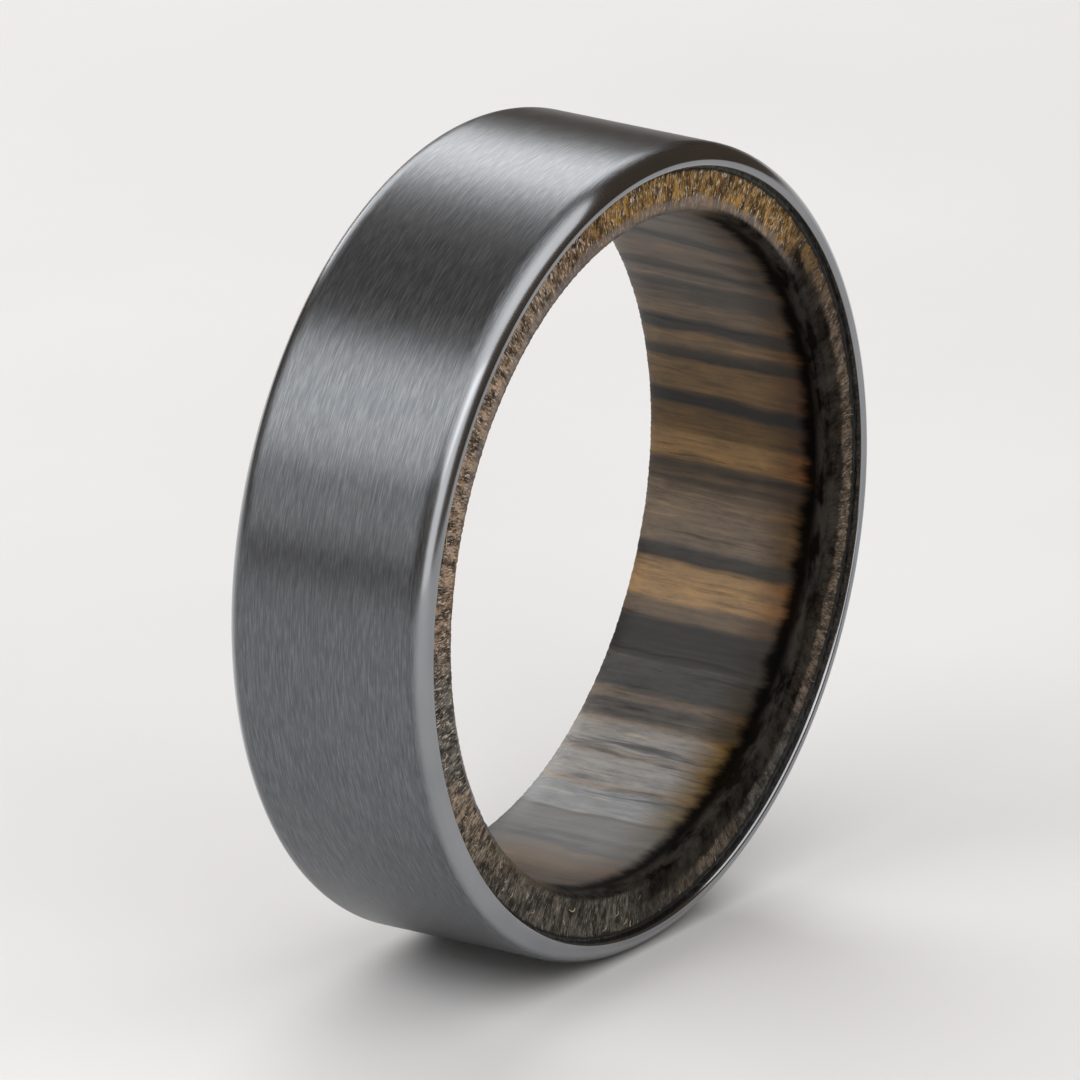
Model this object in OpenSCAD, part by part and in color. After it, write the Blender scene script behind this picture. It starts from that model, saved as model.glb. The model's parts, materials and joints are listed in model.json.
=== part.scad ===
// Wedding band: a brushed metal shell with a turned wood liner glued inside it.
// The origin is the centre of the bore, and the finger axis lies along Y.
// All lengths are in millimetres and all angles in degrees.

/* [Band] */
// Outside diameter of the metal shell
outer_d = 24.7; // [24:0.1:30]
// Width of the band along the finger
band_w = 7; // [6:0.5:12]
// Diameter of the bore that the finger goes through
bore_d = 20.2; // [15:0.1:20.2]

/* [Metal shell] */
// Thickness of the shell's wall
shell_wall = 0.68; // [0.62:0.01:1]
// Radius of the shell's rounded outside edges
shell_edge_r = 0.8; // [0.6:0.05:1]
// How far the wall is reduced at each end face by the outside rounding
shell_edge_in = 0.48; // [0.3:0.01:0.52]
// Radius of the lip that rolls from each end face into the shell's own bore
shell_lip_r = 0.1; // [0.06:0.01:0.14]

/* [Glue line] */
// Thickness of the cured adhesive between shell and liner
glue_t = 0.1; // [0.05:0.01:0.15]
// How far the adhesive stays back from each end face of the shell
glue_recess = 0.27; // [0.25:0.01:0.4]

/* [Wood liner] */
// How far each end face of the liner stays back from the shell's
liner_recess = 0.28; // [0.2:0.01:0.4]
// Radius of the shallow comfort curve at each end of the bore
comfort_r = 2.6; // [1.5:0.1:3]
// Angle that the comfort curve turns through before the edge rounding takes over
comfort_angle = 22; // [10:1:25]
// Radius of the liner's rounded inside edges
liner_edge_r = 0.12; // [0.06:0.01:0.5]

/* [Hidden] */
outer_r = outer_d / 2;
half_w = band_w / 2;
bore_r = bore_d / 2;
shell_bore_r = outer_r - shell_wall;
liner_r = shell_bore_r - glue_t;

// The outside rounding is tangent to the cylinder and meets the end face at this radius.
shell_face_r = outer_r - shell_edge_in;
shell_arc_r = outer_r - shell_edge_r;
shell_arc_rise = sqrt(pow(shell_edge_r, 2) - pow(shell_face_r - shell_arc_r, 2));

// Two arcs, tangent to each other, turn the bore wall into the liner's end face.
liner_face = half_w - liner_recess;
arc_gap = comfort_r - liner_edge_r;
edge_arc = [
    bore_r + comfort_r - arc_gap * cos(comfort_angle),
    liner_face - liner_edge_r
];
comfort_arc = [bore_r + comfort_r, edge_arc[1] - arc_gap * sin(comfort_angle)];
comfort_end = comfort_arc[1] + comfort_r * sin(comfort_angle);

// How far a cutting shape runs past what it cuts
past = 1;
$fn = 180;

// Turns a section, drawn as radius by height, round the finger axis.
module turned() {
    rotate([90, 0, 0]) rotate_extrude() children();
}

// Repeats a cut at the other end of the band's section.
module both_ends() {
    children();
    mirror([0, 1]) children();
}

// The waste outside an arc: a rectangle from low to high, less the arc's circle.
module waste(low, high, centre, r) {
    difference() {
        translate(low) square(high - low);
        translate(centre) circle(r);
    }
}

// The shell: flat outside, rounded outside edges, narrow end faces and a rolled inner lip.
module metal_shell() {
    color([0.27, 0.28, 0.3])
        turned()
            difference() {
                translate([shell_bore_r, -half_w]) square([shell_wall, band_w]);
                both_ends() {
                    waste(
                        [shell_arc_r, half_w - shell_arc_rise],
                        [outer_r + past, half_w + past],
                        [shell_arc_r, half_w - shell_arc_rise],
                        shell_edge_r
                    );
                    waste(
                        [shell_bore_r - past, half_w - shell_lip_r],
                        [shell_bore_r + shell_lip_r, half_w + past],
                        [shell_bore_r + shell_lip_r, half_w - shell_lip_r],
                        shell_lip_r
                    );
                }
            }
}

// The cured adhesive: a thin sleeve that fills the gap between liner and shell.
module glue_line() {
    glue_w = band_w - 2 * glue_recess;
    color([0.05, 0.05, 0.05])
        turned()
            translate([liner_r, -glue_w / 2]) square([glue_t, glue_w]);
}

// The liner: a sleeve turned from solid wood, with a comfort curve at each end of its bore.
module wood_liner() {
    color([0.42, 0.32, 0.2])
        turned()
            difference() {
                translate([bore_r, -liner_face]) square([liner_r - bore_r, 2 * liner_face]);
                both_ends() {
                    waste(
                        [bore_r - past, comfort_arc[1]],
                        [comfort_arc[0], comfort_end],
                        comfort_arc,
                        comfort_r
                    );
                    waste(
                        [bore_r - past, comfort_end],
                        [edge_arc[0], liner_face + past],
                        edge_arc,
                        liner_edge_r
                    );
                }
            }
}

metal_shell();
glue_line();
wood_liner();
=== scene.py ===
"""A wedding band standing on its rim: a brushed metal shell with a turned wood liner glued inside it.

The finger axis lies along Y and the band's centre is the origin. Lengths are metres in Blender, and the
sizes below are millimetres times MM. Angles round the band are counted from +X towards +Z.
"""

import json
import math
import random

import bpy
import numpy as np
from mathutils import Matrix, Vector, noise


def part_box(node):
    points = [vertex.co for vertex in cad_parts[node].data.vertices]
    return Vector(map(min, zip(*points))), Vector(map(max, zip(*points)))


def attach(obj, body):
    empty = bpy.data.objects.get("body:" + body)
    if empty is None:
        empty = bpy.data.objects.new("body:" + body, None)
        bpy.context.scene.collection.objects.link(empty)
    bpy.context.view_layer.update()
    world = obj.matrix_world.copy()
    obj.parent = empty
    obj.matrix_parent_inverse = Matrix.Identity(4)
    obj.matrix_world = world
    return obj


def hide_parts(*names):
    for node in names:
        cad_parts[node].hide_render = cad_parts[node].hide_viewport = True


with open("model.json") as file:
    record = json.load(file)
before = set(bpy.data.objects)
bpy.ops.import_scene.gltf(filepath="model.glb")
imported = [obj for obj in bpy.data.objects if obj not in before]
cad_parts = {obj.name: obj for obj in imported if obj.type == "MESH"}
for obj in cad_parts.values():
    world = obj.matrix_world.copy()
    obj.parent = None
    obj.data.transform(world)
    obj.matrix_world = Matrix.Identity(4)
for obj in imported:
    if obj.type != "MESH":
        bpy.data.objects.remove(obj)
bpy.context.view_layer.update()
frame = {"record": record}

# ---------------------------------------------------------------- sizes

MM = 0.001

shell_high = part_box("metal_shell")[1]
glue_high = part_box("glue_line")[1]
liner_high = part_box("wood_liner")[1]
mounts = {mount["name"]: mount for mount in frame["record"]["mounts"]}

OUTER_R = shell_high.x
HALF_W = shell_high.y
GLUE_OUTER_R = glue_high.x
GLUE_HALF_W = glue_high.y
LINER_R = liner_high.x
LINER_HALF_W = liner_high.y
BORE_R = mounts["finger_bore"]["dims"]["r_mm"] * MM

# The shell's outside rounding, its end face and the lip that rolls into its bore
SHELL_EDGE_R = 0.8 * MM
SHELL_FACE_R = OUTER_R - 0.48 * MM
SHELL_LIP_R = 0.1 * MM

# The two arcs that turn the bore's wall into the liner's end face
COMFORT_R = 2.6 * MM
COMFORT_TURN = math.radians(22)
LINER_EDGE_R = 0.12 * MM

# How far the shell's outside and end faces stay inside the CAD solid
SKIN = 0.002 * MM

# How deep the rims' torn end grain and the dips in the adhesive's ends go
TORN_DEPTH = 0.035 * MM
BEAD_DEPTH = 0.05 * MM

# Loose fibres on each rim, and how many of them are longer curls
FIBRES_PER_RIM = 120
CURLS_PER_RIM = 4

# Segments round the band: few where the surface is plain, more where it has relief
PLAIN_SEGMENTS = 720
RELIEF_SEGMENTS = 1440


# ---------------------------------------------------------------- mesh helpers

def arc(centre, radius, start, end, steps):
    """Points of a section's arc, as (radius, height) pairs; angles in radians from straight outwards."""
    turns = np.linspace(start, end, steps + 1)
    return [(centre[0] + radius * math.cos(t), centre[1] + radius * math.sin(t)) for t in turns]


def line(start, end, steps):
    """Points of a section's straight stretch, without its two ends."""
    parts = np.linspace(0, 1, steps + 1)[1:-1]
    return [(start[0] + (end[0] - start[0]) * p, start[1] + (end[1] - start[1]) * p) for p in parts]


def turned(section, segments, relief=None):
    """Turns a closed section round the finger axis; returns the points and faces of one closed surface.

    relief, if given, takes arrays of angle, radius, height and the section's outward normal, and returns
    the new radius and height of every point.
    """
    ring = np.array(section)
    count = len(ring)
    angles = np.linspace(0, 2 * math.pi, segments, endpoint=False)
    angle, radius = np.meshgrid(angles, ring[:, 0], indexing="ij")
    _, height = np.meshgrid(angles, ring[:, 1], indexing="ij")
    if relief is not None:
        along = np.roll(ring, -1, axis=0) - np.roll(ring, 1, axis=0)
        normal = np.stack([along[:, 1], -along[:, 0]], axis=1)
        normal /= np.linalg.norm(normal, axis=1)[:, None]
        radius, height = relief(angle, radius, height, normal)
    points = np.stack([radius * np.cos(angle), height, radius * np.sin(angle)], axis=-1).reshape(-1, 3)
    here, beside = np.meshgrid(np.arange(segments), np.arange(count), indexing="ij")
    ahead = (here + 1) % segments
    above = (beside + 1) % count
    quads = np.stack([here * count + beside, here * count + above,
                      ahead * count + above, ahead * count + beside], axis=-1).reshape(-1, 4)
    return points.tolist(), quads.tolist()


def strand(path, radii, outward, sides=6):
    """A thin closed tube along a path, one radius for each point; returns its points and faces."""
    points, faces = [], []
    for i, (centre, radius) in enumerate(zip(path, radii)):
        along = (path[min(i + 1, len(path) - 1)] - path[max(i - 1, 0)]).normalized()
        across = along.cross(outward).normalized()
        up = across.cross(along)
        for k in range(sides):
            turn = 2 * math.pi * k / sides
            points.append(tuple(centre + (across * math.cos(turn) + up * math.sin(turn)) * radius))
    for i in range(len(path) - 1):
        for k in range(sides):
            beside = (k + 1) % sides
            faces.append((i * sides + beside, i * sides + k, (i + 1) * sides + k, (i + 1) * sides + beside))
    faces.append(tuple(range(sides)))
    faces.append(tuple(reversed(range((len(path) - 1) * sides, len(path) * sides))))
    return points, faces


def build(name, parts):
    """Makes one object from several closed surfaces, each a pair of points and faces."""
    points, faces = [], []
    for part_points, part_faces in parts:
        first = len(points)
        points += part_points
        faces += [[first + corner for corner in face] for face in part_faces]
    mesh = bpy.data.meshes.new(name)
    mesh.from_pydata(points, [], faces)
    mesh.validate()
    mesh.shade_smooth()
    piece = bpy.data.objects.new(name, mesh)
    bpy.context.scene.collection.objects.link(piece)
    return piece


# ---------------------------------------------------------------- node helpers

class Nodes:
    """A thin wrapper that adds and links shader nodes in short calls."""

    def __init__(self, name):
        self.material = bpy.data.materials.new(name)
        self.material.use_nodes = True
        self.tree = self.material.node_tree
        self.tree.nodes.clear()
        self.output = self.tree.nodes.new("ShaderNodeOutputMaterial")
        self.shader = self.tree.nodes.new("ShaderNodeBsdfPrincipled")
        self.link(self.shader.outputs["BSDF"], self.output.inputs["Surface"])
        self.coords = self.tree.nodes.new("ShaderNodeTexCoord").outputs["Object"]
        split = self.tree.nodes.new("ShaderNodeSeparateXYZ")
        self.link(self.coords, split.inputs[0])
        self.x, self.y, self.z = split.outputs

    def link(self, source, target):
        """Links an output socket to an input."""
        self.tree.links.new(source, target)

    def feed(self, target, value):
        """Links a socket to an input, or sets the input to a plain value."""
        if isinstance(value, bpy.types.NodeSocket):
            self.link(value, target)
        else:
            target.default_value = value

    def math(self, operation, first, second=0.0, third=0.0):
        """A math node of this operation."""
        node = self.tree.nodes.new("ShaderNodeMath")
        node.operation = operation
        for target, value in zip(node.inputs, (first, second, third)):
            self.feed(target, value)
        return node.outputs[0]

    def plus(self, first, second):
        return self.math("ADD", first, second)

    def minus(self, first, second):
        return self.math("SUBTRACT", first, second)

    def times(self, first, second):
        return self.math("MULTIPLY", first, second)

    def times_plus(self, first, second, third):
        return self.math("MULTIPLY_ADD", first, second, third)

    def ramp(self, value, low, high, out_low=0.0, out_high=1.0):
        """Maps value smoothly from low..high to out_low..out_high, clamped."""
        node = self.tree.nodes.new("ShaderNodeMapRange")
        node.interpolation_type = "SMOOTHSTEP"
        for target, number in zip(node.inputs, (value, low, high, out_low, out_high)):
            self.feed(target, number)
        return node.outputs[0]

    def vector(self, x, y, z):
        """A vector from three values or sockets."""
        node = self.tree.nodes.new("ShaderNodeCombineXYZ")
        for target, value in zip(node.inputs, (x, y, z)):
            self.feed(target, value)
        return node.outputs[0]

    def noise(self, where, scale, detail=2.0, roughness=0.5):
        """Noise at these coordinates, mostly between 0.3 and 0.7."""
        node = self.tree.nodes.new("ShaderNodeTexNoise")
        self.link(where, node.inputs["Vector"])
        node.inputs["Scale"].default_value = scale
        node.inputs["Detail"].default_value = detail
        node.inputs["Roughness"].default_value = roughness
        return node.outputs["Fac"]

    def uneven(self, place, amount, where, detail):
        """A distance near place that wanders by up to amount, for a ragged edge."""
        return self.times_plus(self.noise(where, 1.0, detail, 0.7), amount, place)

    def colours(self, value, stops):
        """A colour ramp; stops are (place, colour) pairs in rising order."""
        node = self.tree.nodes.new("ShaderNodeValToRGB")
        ramp = node.color_ramp
        while len(ramp.elements) < len(stops):
            ramp.elements.new(1.0)
        for element, (place, colour) in zip(ramp.elements, stops):
            element.position = place
            element.color = (*colour, 1.0)
        self.feed(node.inputs[0], value)
        return node.outputs[0]

    def mix(self, amount, first, second, blend="MIX"):
        """The first colour at 0 and the second at 1; each may be a socket or an RGB tuple."""
        node = self.tree.nodes.new("ShaderNodeMix")
        node.data_type = "RGBA"
        node.blend_type = blend
        self.feed(node.inputs["Factor"], amount)
        for target, value in ((node.inputs[6], first), (node.inputs[7], second)):
            self.feed(target, (*value, 1.0) if isinstance(value, tuple) else value)
        return node.outputs[2]

    def tint(self, first, second):
        """Two colours multiplied."""
        return self.mix(1.0, first, second, "MULTIPLY")

    def bump(self, height, distance, strength, before=None):
        """A bumped normal, laid over an earlier one if that is given."""
        node = self.tree.nodes.new("ShaderNodeBump")
        node.inputs["Strength"].default_value = strength
        node.inputs["Distance"].default_value = distance
        self.link(height, node.inputs["Height"])
        if before is not None:
            self.link(before, node.inputs["Normal"])
        return node.outputs[0]

    def from_axis(self):
        """Distance from the finger axis."""
        return self.math("SQRT", self.plus(self.times(self.x, self.x), self.times(self.z, self.z)))

    def round_rim(self, turns, radii):
        """Coordinates that follow the rims: turns per radian round the axis, and radii per metre outwards.

        A part that grows along the axis makes the two rims differ.
        """
        radius = self.from_axis()
        outward = self.plus(self.times(radius, radii), self.times(self.y, 3000.0))
        return self.vector(self.times(self.math("DIVIDE", self.x, radius), turns), outward,
                           self.times(self.math("DIVIDE", self.z, radius), turns))

    def stretched(self, across, along):
        """Object coordinates scaled by one number along the finger axis and another across it."""
        return self.vector(self.times(self.x, across), self.times(self.y, along),
                           self.times(self.z, across))


# ---------------------------------------------------------------- materials

def brushed_metal():
    """Gunmetal, brushed round the circumference; its rounded edges and lip are polished, and their lighter
    grey is partly a painted reflection.
    """
    n = Nodes("brushed_gunmetal")
    off_centre = n.math("ABSOLUTE", n.y)
    polished = n.ramp(off_centre, HALF_W - 0.47 * MM, HALF_W - 0.22 * MM)
    strokes = n.noise(n.stretched(2000, 24000), 1.0, 2.0, 0.6)
    hairs = n.noise(n.stretched(900, 40000), 1.0, 1.0, 0.5)
    brush = n.times_plus(strokes, 0.6, n.times(hairs, 0.4))
    clouds = n.noise(n.coords, 260.0, 2.0)
    brushed = n.colours(brush, [(0.36, (0.108, 0.114, 0.123)), (0.5, (0.142, 0.15, 0.16)),
                                (0.64, (0.2, 0.209, 0.22))])
    # Painted reflection: the polished zone's lighter grey is partly real polish and partly painted
    # brightness of reflected surroundings
    polish_and_sheen = n.colours(clouds, [(0.35, (0.285, 0.296, 0.312)), (0.65, (0.335, 0.346, 0.362))])
    n.link(n.mix(polished, brushed, polish_and_sheen), n.shader.inputs["Base Color"])
    n.shader.inputs["Metallic"].default_value = 1.0
    n.link(n.mix(polished, n.ramp(brush, 0.3, 0.7, 0.31, 0.36), (0.17, 0.17, 0.17)),
           n.shader.inputs["Roughness"])
    n.shader.inputs["Anisotropic"].default_value = 0.62
    n.shader.inputs["Anisotropic Rotation"].default_value = 0.25
    tangent = n.tree.nodes.new("ShaderNodeTangent")
    tangent.direction_type = "RADIAL"
    tangent.axis = "Y"
    n.link(tangent.outputs[0], n.shader.inputs["Tangent"])
    n.link(n.bump(n.times(brush, n.minus(1.0, polished)), 0.004 * MM, 0.2), n.shader.inputs["Normal"])
    return n.material


def cured_adhesive():
    """Black adhesive with a slightly uneven, dull skin."""
    n = Nodes("cured_adhesive")
    lumps = n.noise(n.coords, 9000.0, 3.0, 0.6)
    n.link(n.colours(lumps, [(0.35, (0.004, 0.004, 0.004)), (0.7, (0.022, 0.02, 0.018))]),
           n.shader.inputs["Base Color"])
    n.link(n.ramp(lumps, 0.3, 0.7, 0.35, 0.6), n.shader.inputs["Roughness"])
    n.link(n.bump(lumps, 0.02 * MM, 0.5), n.shader.inputs["Normal"])
    return n.material


# The wood's growth layers are flat sheets along the finger axis, stacked this far off +Z, towards +X.
LAYER_TILT = math.radians(20)

# Each layer: the angle in degrees at which it meets the bore's wall, from the bottom up, then how light
# and how warm it is.
LOWER_LAYERS = [
    (-97, 0.05, 0.6), (-94, 0.085, 0.75), (-92.8, 0.05, 0.5), (-90.6, 0.1, 0.8), (-89.6, 0.055, 0.4),
    (-86.4, 0.085, 0.5), (-85.8, 0.058, 0.1), (-78, 0.085, 0.0), (-75.2, 0.11, 0.05), (-74.6, 0.055, 0.1),
    # The pale grey-blue layers from about -74 to -53 degrees are partly the wood's own tone and partly a
    # painted reflection of a softbox in the finish
    (-73.9, 0.2, -0.05), (-67, 0.23, -0.05), (-66.2, 0.24, 0.4), (-65.2, 0.25, 0.05), (-60, 0.27, 0.05),
    (-58.6, 0.23, 0.25), (-57.5, 0.27, 0.05), (-53.5, 0.25, 0.1), (-52.4, 0.19, 0.3), (-51.4, 0.07, 0.1),
    (-48.8, 0.08, 0.1), (-48, 0.13, 0.35), (-46.4, 0.1, 0.3), (-45.8, 0.055, 0.0), (-41, 0.06, 0.05),
    (-39.6, 0.05, 0.1), (-39.1, 0.016, 0.1), (-38.4, 0.04, 0.1), (-37.5, 0.022, 0.1), (-33, 0.02, 0.1),
    (-31.8, 0.09, 0.5), (-29.6, 0.1, 0.5),
]
UPPER_LAYERS = [
    (-29.6, 0.1, 0.5), (-28.8, 0.2, 0.8), (-25.4, 0.22, 0.85), (-25, 0.14, 0.8), (-24.5, 0.21, 0.8),
    (-22.9, 0.17, 0.8), (-22.2, 0.03, 0.2), (-20, 0.045, 0.1), (-19.2, 0.12, 0.4), (-14, 0.125, 0.45),
    (-9.4, 0.07, 0.5), (-8.9, 0.022, 0.3), (-8, 0.07, 0.6), (-6.8, 0.028, 0.5), (-5.6, 0.04, 0.5),
    (-4.8, 0.13, 0.95), (-1, 0.12, 0.9), (0.4, 0.055, 1.0), (4, 0.05, 1.0), (4.8, 0.012, 0.3),
    (6.8, 0.012, 0.3), (7.6, 0.075, 0.9), (13.6, 0.08, 0.9), (14.3, 0.02, 0.3), (15.8, 0.03, 0.4),
    (17, 0.09, 0.7), (19.2, 0.085, 0.7), (20, 0.03, 0.2), (22.3, 0.035, 0.2), (23.2, 0.11, 0.6),
    (25.6, 0.1, 0.5), (26.8, 0.06, 0.3),
]
TOP_LAYERS = [
    (26.8, 0.06, 0.3), (31, 0.05, 0.25), (32, 0.1, 0.4), (34, 0.09, 0.35), (34.8, 0.03, 0.2),
    (36, 0.03, 0.2), (37, 0.1, 0.45), (40, 0.09, 0.4), (40.8, 0.14, 0.7), (41.6, 0.09, 0.4),
    (44, 0.085, 0.35), (45, 0.025, 0.2), (46.5, 0.03, 0.2), (47.5, 0.09, 0.4), (52, 0.1, 0.4),
    (53, 0.04, 0.3), (54, 0.09, 0.4), (59, 0.085, 0.4), (60, 0.03, 0.2), (61.5, 0.08, 0.4), (67, 0.09, 0.4),
]


def tone(level, warmth):
    """A colour of this lightness, from grey at 0 to golden brown at 1."""
    return (level * (1 + 0.6 * warmth), level * (1 - 0.08 * warmth), level * (1 - 0.68 * warmth))


def layer_place(degrees):
    """Where a layer that meets the bore's wall at this angle lies along the stack, from 0 to 1."""
    return 0.5 + 0.5 * math.sin(math.radians(degrees) + LAYER_TILT) * BORE_R / LINER_R


def layer_stops(layers):
    """Colour-ramp stops for a list of layers."""
    return [(layer_place(angle), tone(level, warmth)) for angle, level, warmth in layers]


# The end grain's colours along the same stack: grey low down, taupe in the middle and gold at the top
RIM_LAYERS = [
    (0.05, (0.07, 0.066, 0.056)), (0.09, (0.12, 0.1, 0.075)), (0.12, (0.17, 0.14, 0.105)),
    (0.16, (0.2, 0.16, 0.12)), (0.19, (0.1, 0.097, 0.088)), (0.3, (0.11, 0.105, 0.095)),
    (0.36, (0.22, 0.165, 0.12)), (0.8, (0.25, 0.185, 0.13)), (0.88, (0.15, 0.09, 0.045)),
    (0.92, (0.24, 0.14, 0.034)), (1.0, (0.22, 0.13, 0.034)),
]

# On one side the front end's rim is scorched and its bore carries painted shade, most of all in the
# direction this far below +X
SCORCH_AND_SHADE_TILT = math.radians(25)


def growth_layers(n):
    """The place in the stack, warped a little so that no line is quite straight, and the colour there."""
    height = n.plus(n.times(n.z, math.cos(LAYER_TILT)), n.times(n.x, math.sin(LAYER_TILT)))
    depth = n.minus(n.times(n.x, math.cos(LAYER_TILT)), n.times(n.z, math.sin(LAYER_TILT)))
    warp = n.minus(n.noise(n.stretched(420, 160), 1.0, 3.0, 0.55), 0.5)
    ripple = n.minus(n.noise(n.stretched(2600, 420), 1.0, 2.0, 0.5), 0.5)
    height = n.plus(height, n.plus(n.times(warp, 0.5 * MM), n.times(ripple, 0.2 * MM)))
    stack = n.times_plus(height, 0.5 / LINER_R, 0.5)

    colour = n.colours(stack, layer_stops(LOWER_LAYERS))
    for layers in (UPPER_LAYERS, TOP_LAYERS):
        stops = layer_stops(layers)
        reached = n.math("GREATER_THAN", stack, stops[0][0])
        colour = n.mix(reached, colour, n.colours(stack, stops))

    # Fine lines along the grain, within the layers
    lines = n.noise(n.vector(n.times(height, 4200), n.times(n.y, 170), n.times(depth, 330)), 1.0, 3.0, 0.6)
    colour = n.tint(colour, n.colours(lines, [(0.33, (0.45, 0.46, 0.48)), (0.42, (0.95, 0.95, 0.95)),
                                              (0.58, (1.0, 1.0, 1.0)), (0.68, (1.5, 1.4, 1.2))]))
    return stack, colour


def bore_figure(n, colour):
    """Lays long fibres and a mottled figure over the layers; returns the colour and the grain's height."""
    fibres = n.noise(n.stretched(9000, 500), 1.0, 3.0, 0.65)
    mottle = n.noise(n.stretched(3000, 900), 1.0, 4.0, 0.7)
    grain = n.times_plus(fibres, 0.45, n.times(mottle, 0.55))
    colour = n.tint(colour, n.colours(grain, [(0.34, (0.6, 0.61, 0.63)), (0.5, (1.0, 1.0, 1.0)),
                                              (0.66, (1.35, 1.32, 1.25))]))
    return colour, grain


def end_grain(n, stack, off_centre):
    """The rims' dashes, patches, flecks and loose fibres; returns the colour and the grain's height."""
    dashes = n.noise(n.round_rim(260, 4600), 1.0, 3.0, 0.75)
    patches = n.noise(n.round_rim(40, 1500), 1.0, 4.0, 0.65)
    torn = n.times_plus(dashes, 0.45, n.times(patches, 0.55))
    colour = n.tint(n.colours(stack, RIM_LAYERS),
                    n.colours(torn, [(0.42, (0.1, 0.08, 0.06)), (0.5, (0.7, 0.65, 0.6)),
                                     (0.58, (2.0, 1.9, 1.85))]))
    # Pale flecks, fainter low down
    flecks = n.noise(n.round_rim(200, 4200), 1.0, 2.0, 0.6)
    pale = n.times(n.ramp(flecks, 0.57, 0.66), n.ramp(n.z, -9.0 * MM, -1.0 * MM, 0.25, 1.0))
    colour = n.mix(pale, colour, (0.6, 0.52, 0.42))
    # Whatever stands up from the rim is a loose fibre
    raised = n.ramp(off_centre, LINER_HALF_W + 0.002 * MM, LINER_HALF_W + 0.012 * MM)
    return n.mix(n.times(raised, 0.85), colour, (0.55, 0.45, 0.33)), torn


def rim_margins(n, colour, radius):
    """Runs a smoother clear finish over the top of the rims' inner part, whose grey colour there is a
    painted reflection, and stains their outer margin with adhesive.

    Returns the colour and where the finish is.
    """
    finish_and_sheen_edge = n.uneven(BORE_R + 0.2 * MM, 0.75 * MM, n.round_rim(9, 900), 4.0)
    finish_and_sheen = n.times(n.ramp(n.minus(radius, finish_and_sheen_edge), -0.06 * MM, 0.1 * MM, 1.0, 0.0),
                     n.ramp(n.z, 3.0 * MM, 6.0 * MM))
    # Painted reflection: a grey sheen painted on the finished inner part, only towards the top
    colour = n.mix(n.times(finish_and_sheen, 0.6), colour, (0.15, 0.125, 0.115))
    stain_edge = n.uneven(LINER_R + 0.07 * MM, -0.3 * MM, n.round_rim(60, 900), 3.0)
    stained = n.ramp(n.minus(radius, stain_edge), -0.02 * MM, 0.04 * MM)
    return n.mix(n.times(stained, 0.9), colour, (0.016, 0.015, 0.011)), finish_and_sheen


def scorched_rim(n, colour, radius, scorch_and_shade_side, char_and_shade_colour):
    """Scorches the front rim, nearly black all but its outermost strip; returns the colour and where."""
    darkened_side = n.times(n.math("LESS_THAN", n.y, 0.0), n.ramp(scorch_and_shade_side, 3.2 * MM, 5.2 * MM))
    char_edge = n.uneven(BORE_R + 0.6 * MM, 0.6 * MM, n.round_rim(14, 900), 3.0)
    charred = n.times(darkened_side, n.ramp(n.minus(radius, char_edge), -0.1 * MM, 0.15 * MM, 1.0, 0.0))
    colour = n.mix(n.times(darkened_side, 0.55), colour, (0.02, 0.016, 0.012))
    return n.mix(n.times(charred, 0.9), colour, char_and_shade_colour), charred


def bore_painted_shade(n, colour, off_centre, scorch_and_shade_side, char_and_shade_colour):
    """Paints shade into the bore on one side towards the front end: browner and browner, then black on the
    comfort curve.

    Returns the colour and where it is black.
    """
    darkened_side = n.ramp(scorch_and_shade_side, -1.6 * MM, 0.8 * MM)
    shade_edge = n.uneven(1.9 * MM, 1.0 * MM, n.stretched(1300, 350), 4.0)
    past_edge = n.minus(n.times(n.y, -1.0), shade_edge)
    brown = n.times(n.ramp(past_edge, -1.7 * MM, 0.0), darkened_side)
    black = n.times(n.ramp(past_edge, -0.25 * MM, 0.25 * MM), darkened_side)
    # Painted shade: the bore browns and darkens towards the front end on this side
    colour = n.mix(brown, colour, n.tint(colour, (0.42, 0.265, 0.07)))
    # Painted shade: near-black on the comfort curve, turning to the char colour nearest the rim
    painted_shade_colour = n.mix(n.ramp(off_centre, 2.7 * MM, 3.0 * MM), (0.0012, 0.0009, 0.0006), char_and_shade_colour)
    return n.mix(n.times(black, 0.98), colour, painted_shade_colour), black


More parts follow.
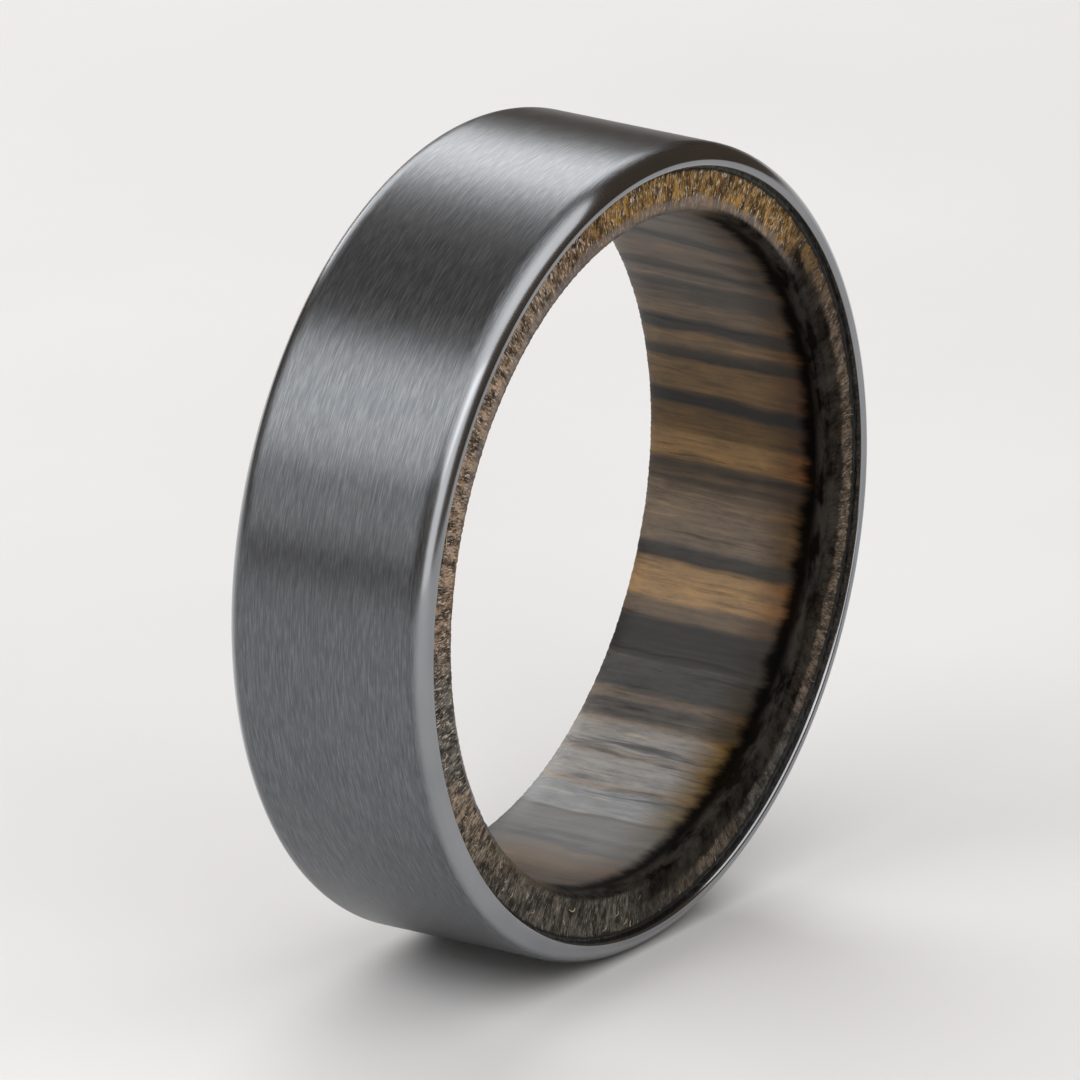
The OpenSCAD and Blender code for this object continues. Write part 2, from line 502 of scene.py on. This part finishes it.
def liner_wood():
    """Striped wood: layers along the finger axis in the bore, torn end grain on the rims."""
    n = Nodes("striped_wood")
    radius = n.from_axis()
    off_centre = n.math("ABSOLUTE", n.y)
    scorch_and_shade_side = n.minus(n.times(n.x, math.cos(SCORCH_AND_SHADE_TILT)), n.times(n.z, math.sin(SCORCH_AND_SHADE_TILT)))
    # Dark char colour of the front rim, also used for the painted shade in the bore
    char_and_shade_colour = n.colours(n.noise(n.round_rim(9, 700), 1.0, 4.0, 0.65), [(0.4, (0.002, 0.0017, 0.0014)),
                                                                 (0.6, (0.034, 0.03, 0.026))])

    stack, layers = growth_layers(n)
    side, grain = bore_figure(n, layers)
    side, black = bore_painted_shade(n, side, off_centre, scorch_and_shade_side, char_and_shade_colour)
    end, torn = end_grain(n, stack, off_centre)
    end, finish_and_sheen = rim_margins(n, end, radius)
    end, charred = scorched_rim(n, end, radius, scorch_and_shade_side, char_and_shade_colour)

    # The rim's look takes over from the bore's on the edge rounding
    rim = n.times(n.ramp(off_centre, LINER_HALF_W - 0.2 * MM, LINER_HALF_W - 0.06 * MM),
                  n.ramp(radius, BORE_R + 0.25 * MM, BORE_R + 0.4 * MM))
    n.link(n.mix(rim, side, end), n.shader.inputs["Base Color"])
    bare = n.times(rim, n.minus(1.0, finish_and_sheen))
    n.link(n.plus(n.times(bare, 0.35), n.ramp(grain, 0.3, 0.7, 0.38, 0.52)), n.shader.inputs["Roughness"])
    # The charred rim and the bore's painted black shade reflect less
    dull = n.times_plus(rim, n.minus(charred, black), black)
    n.link(n.times_plus(dull, -0.27, 0.3), n.shader.inputs["Specular IOR Level"])
    fine = n.bump(grain, 0.012 * MM, 0.5)
    n.link(n.bump(n.times(torn, bare), 0.1 * MM, 0.8, fine), n.shader.inputs["Normal"])
    return n.material


def pale_floor():
    """A plain, nearly white floor with very faint mottling."""
    n = Nodes("pale_floor")
    grain = n.noise(n.coords, 60.0, 3.0)
    n.link(n.colours(grain, [(0.3, (0.71, 0.71, 0.715)), (0.7, (0.735, 0.735, 0.74))]),
           n.shader.inputs["Base Color"])
    n.shader.inputs["Roughness"].default_value = 0.55
    return n.material


# ---------------------------------------------------------------- pieces

def finish_piece(piece, node, material):
    """Puts a visible piece in the place of its CAD node."""
    piece.data.materials.append(material)
    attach(piece, "root")
    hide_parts(node)


def make_shell():
    """The metal shell: flat outside, rounded edges, narrow end faces and a lip rolled into its bore."""
    outer = OUTER_R - SKIN
    face = HALF_W - SKIN
    bore = GLUE_OUTER_R
    edge_centre_r = outer - SHELL_EDGE_R
    edge_start_r = SHELL_FACE_R - edge_centre_r
    edge_turn = math.acos(edge_start_r / SHELL_EDGE_R)
    edge_centre = (edge_centre_r, face - SHELL_EDGE_R * math.sin(edge_turn))
    lip_centre = (bore + SHELL_LIP_R, face - SHELL_LIP_R)
    half = (arc(edge_centre, SHELL_EDGE_R, 0, edge_turn, 28)
            + line((SHELL_FACE_R, face), (lip_centre[0], face), 4)
            + arc(lip_centre, SHELL_LIP_R, math.pi / 2, math.pi, 14))
    other = [(r, -h) for r, h in reversed(half)]
    inner = line(half[-1], other[0], 6)
    outside = line(other[-1], half[0], 24)
    section = half + inner + other + outside
    piece = build("metal_shell_visual", [turned(section, PLAIN_SEGMENTS)])
    finish_piece(piece, "metal_shell", brushed_metal())


def loose_fibres(face):
    """Short torn fibres that arch up from the rims' end grain, each rooted in the wood at both ends."""
    chance = random.Random(11)
    strands = []
    steps = 9
    root = 0.03 * MM
    for side in (-1, 1):
        outward = Vector((0, side, 0))
        for number in range(FIBRES_PER_RIM):
            turn = chance.uniform(0, 2 * math.pi)
            radius = chance.uniform(BORE_R + 0.45 * MM, LINER_R - 0.12 * MM)
            length = chance.uniform(0.1, 0.32) * MM
            thick = chance.uniform(0.009, 0.016) * MM
            lift = chance.uniform(0.02, 0.06) * MM
            heading = math.pi / 2 + chance.uniform(-0.9, 0.9)
            curl = chance.uniform(-1.2, 1.2)
            if number < CURLS_PER_RIM:
                length, thick, curl = 0.5 * MM, 0.02 * MM, 2.6
            radial = Vector((math.cos(turn), 0, math.sin(turn)))
            round_axis = Vector((-math.sin(turn), 0, math.cos(turn)))
            spot = radial * radius + outward * (face - root)
            path, radii = [], []
            for i in range(steps + 1):
                arch = math.sin(math.pi * i / steps)
                path.append(spot + outward * arch * (lift + root))
                radii.append(thick * (0.25 + 0.75 * arch))
                ahead = round_axis * math.cos(heading) + radial * math.sin(heading)
                spot = spot + ahead * (length / steps)
                heading += curl / steps
            strands.append(strand(path, radii, outward))
    return strands


def make_liner():
    """The wood liner: a sleeve with comfort curves at both ends of its bore and torn grain on its rims."""
    face = LINER_HALF_W
    gap = COMFORT_R - LINER_EDGE_R
    edge_centre = (BORE_R + COMFORT_R - gap * math.cos(COMFORT_TURN), face - LINER_EDGE_R)
    comfort_centre = (BORE_R + COMFORT_R, edge_centre[1] - gap * math.sin(COMFORT_TURN))
    half = ([(LINER_R, face)]
            + line((LINER_R, face), (edge_centre[0], face), 18)
            + arc(edge_centre, LINER_EDGE_R, math.pi / 2, math.pi - COMFORT_TURN, 20)
            + arc(comfort_centre, COMFORT_R, math.pi - COMFORT_TURN, math.pi, 12)[1:])
    other = [(r, -h) for r, h in reversed(half)]
    section = half + line(half[-1], other[0], 20) + other + line(other[-1], half[0], 6)

    def relief(angle, radius, height, normal):
        # Radial tears about 0.1 mm wide and 0.5 mm long
        rough = np.empty_like(radius)
        for (i, j), turn in np.ndenumerate(angle):
            spot = Vector((math.cos(turn) * 110, radius[i, j] * 2200, math.sin(turn) * 110))
            rough[i, j] = noise.noise(spot) + 0.5 * noise.noise(spot * 2.3)
        on_rim = np.clip((np.abs(height) - (face - 0.2 * MM)) / (0.15 * MM), 0, 1)
        outside = radius > LINER_R - 0.01 * MM
        depth = np.where(outside, 0, on_rim * np.clip(rough * 0.5 + 0.5, 0, 1) * TORN_DEPTH)
        sink = normal[None, :, :] * depth[..., None]
        return radius - sink[..., 0], height - sink[..., 1]

    piece = build("wood_liner_visual", [turned(section, RELIEF_SEGMENTS, relief)] + loose_fibres(face))
    finish_piece(piece, "wood_liner", liner_wood())


def make_glue():
    """The adhesive between shell and liner; each end is a lumpy bead, partly proud of the wood."""
    top = GLUE_HALF_W
    steps = 6
    half = [(GLUE_OUTER_R, top)] + line((GLUE_OUTER_R, top), (LINER_R, top), steps) + [(LINER_R, top)]
    other = [(r, -h) for r, h in reversed(half)]
    section = half + line(half[-1], other[0], 4) + other + line(other[-1], half[0], 4)

    def relief(angle, radius, height, normal):
        # Lumps about 0.2 mm long, not the same at the two ends
        sink = np.empty_like(height)
        for (i, j), turn in np.ndenumerate(angle):
            end = math.copysign(40, height[i, j])
            spot = Vector((math.cos(turn) * 60, radius[i, j] * 9000, math.sin(turn) * 60 + end))
            sink[i, j] = 0.5 + noise.noise(spot) * 0.7
        at_end = np.abs(height) > top - 0.001 * MM
        drop = np.where(at_end, np.clip(sink, 0, 1) * BEAD_DEPTH, 0)
        return radius, height - np.sign(height) * drop

    piece = build("glue_line_visual", [turned(section, RELIEF_SEGMENTS, relief)])
    finish_piece(piece, "glue_line", cured_adhesive())


# ---------------------------------------------------------------- camera, floor and lights

VIEW_AZIMUTH = math.radians(-57.0)
VIEW_ELEVATION = math.radians(19.2)
LENS_MM = 1000.0
SENSOR_MM = 36.0
# Width of the picture at the band, and how far the picture's centre lies left of and below the band's
VIEW_WIDTH = 1.294 * 2 * OUTER_R
AIM_LEFT = 0.0143 * 2 * OUTER_R
AIM_DOWN = 0.0066 * 2 * OUTER_R


def direction(azimuth, elevation):
    """The unit vector from the band to a viewer; azimuth 0 is straight in front, at -Y."""
    return Vector((math.sin(azimuth) * math.cos(elevation), -math.cos(azimuth) * math.cos(elevation),
                   math.sin(elevation)))


def make_camera():
    """A long lens that looks at the band from its front left and a little above."""
    back = direction(VIEW_AZIMUTH, VIEW_ELEVATION)
    right = Vector((0, 0, 1)).cross(back).normalized()
    up = back.cross(right)
    aim = -right * AIM_LEFT - up * AIM_DOWN
    data = bpy.data.cameras.new("camera")
    data.lens = LENS_MM
    data.sensor_width = SENSOR_MM
    distance = VIEW_WIDTH * LENS_MM / SENSOR_MM
    data.clip_start = 0.01
    data.clip_end = 100.0
    camera = bpy.data.objects.new("camera", data)
    camera.location = aim + back * distance
    camera.rotation_euler = (-back).to_track_quat("-Z", "Y").to_euler()
    bpy.context.scene.collection.objects.link(camera)
    bpy.context.scene.camera = camera


def make_floor():
    """The surface that the band stands on."""
    reach = 0.6
    mesh = bpy.data.meshes.new("floor")
    corners = [(-reach, -reach), (reach, -reach), (reach, reach), (-reach, reach)]
    mesh.from_pydata([(x, y, -OUTER_R) for x, y in corners], [], [(0, 1, 2, 3)])
    floor = bpy.data.objects.new("floor", mesh)
    floor.data.materials.append(pale_floor())
    bpy.context.scene.collection.objects.link(floor)


LIGHT_DISTANCE = 0.4


def softbox(name, roll, lean, across, along, strength):
    """A rectangular light facing the band.

    roll is its angle round the finger axis, lean its angle from there towards +Y, and across and along
    its size round and along the axis as seen from the band, all in degrees. strength is its brightness.
    """
    roll, lean = math.radians(roll), math.radians(lean)
    away = Vector((math.cos(roll) * math.cos(lean), math.sin(lean), math.sin(roll) * math.cos(lean)))
    round_axis = Vector((-math.sin(roll), 0, math.cos(roll)))
    width = 2 * LIGHT_DISTANCE * math.tan(math.radians(across / 2)) * math.cos(lean)
    height = 2 * LIGHT_DISTANCE * math.tan(math.radians(along / 2))
    data = bpy.data.lights.new(name, "AREA")
    data.shape = "RECTANGLE"
    data.size = width
    data.size_y = height
    data.energy = strength * math.pi * width * height
    light = bpy.data.objects.new(name, data)
    light.matrix_world = Matrix.Translation(away * LIGHT_DISTANCE) @ Matrix(
        (round_axis, away.cross(round_axis), away)).transposed().to_4x4()
    bpy.context.scene.collection.objects.link(light)


def make_world(strength):
    """A dim, warm room round the band, which fills the darkest reflections."""
    world = bpy.data.worlds.new("studio")
    world.use_nodes = True
    background = world.node_tree.nodes["Background"]
    background.inputs["Color"].default_value = (1.0, 0.75, 0.55, 1.0)
    background.inputs["Strength"].default_value = strength
    bpy.context.scene.world = world


make_camera()
make_floor()
make_world(0.1)
softbox("back_softbox", 44, 37, 28, 54, 4.2)
softbox("left_softbox", 134, 26, 34, 60, 2.4)
softbox("low_softbox", 165, 28, 16, 40, 1.2)
softbox("top_softbox", 100, -24, 84, 62, 1.45)
softbox("front_left_softbox", 150, -54, 80, 28, 1.4)
make_shell()
make_liner()
make_glue()

view = bpy.context.scene.view_settings
view.view_transform = "Standard"
view.look = "None"
